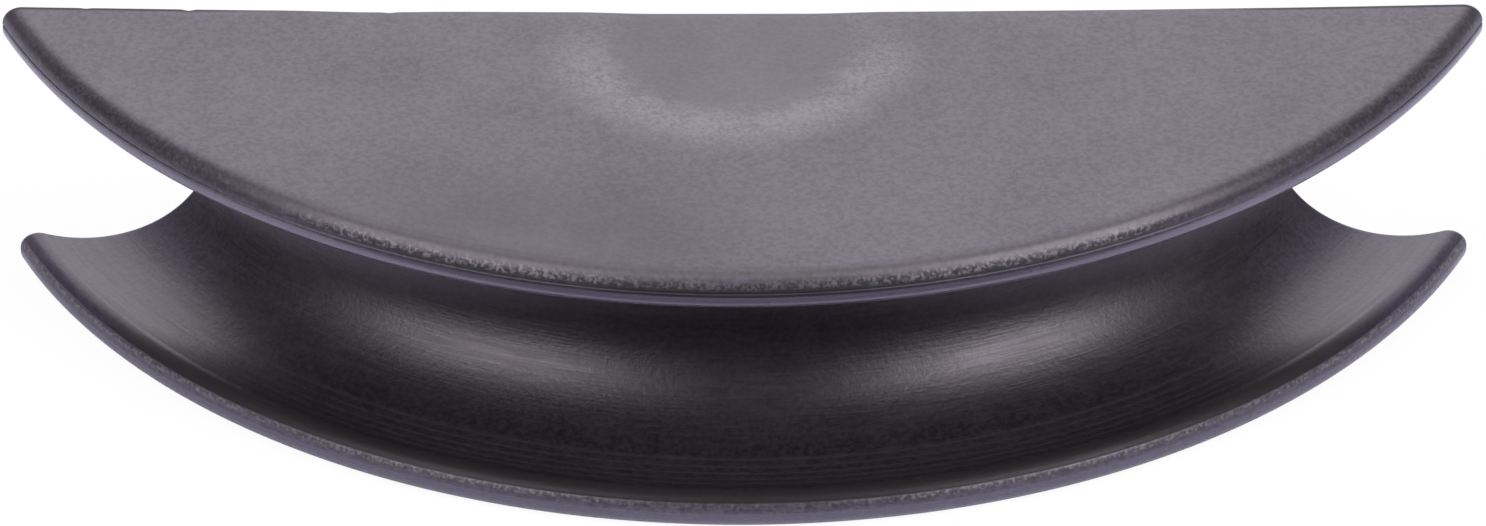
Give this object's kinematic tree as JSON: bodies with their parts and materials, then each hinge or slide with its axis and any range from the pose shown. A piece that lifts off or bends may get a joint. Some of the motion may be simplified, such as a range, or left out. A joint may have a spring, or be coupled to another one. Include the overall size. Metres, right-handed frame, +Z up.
{
  "type": "pipe bender former",
  "caption": "Moulded segment former for a ram pipe bender: a curved round-bottomed groove between two flanges, with a blind ram socket in its back.",
  "frame": {"origin": "on the lower face, under the middle of the part's box", "axes": "+Z up, square to the flat faces; +Y towards the back with the ram socket; the curved grooved front faces -Y; X runs from tip to tip"},
  "size_m": [0.2018, 0.0696, 0.0417],
  "materials": {
    "filled_nylon": "black glass-filled nylon, as moulded, smoother in the groove"
  },
  "bodies": {
    "root": {"former": "filled_nylon"}
  },
  "joints": []
}
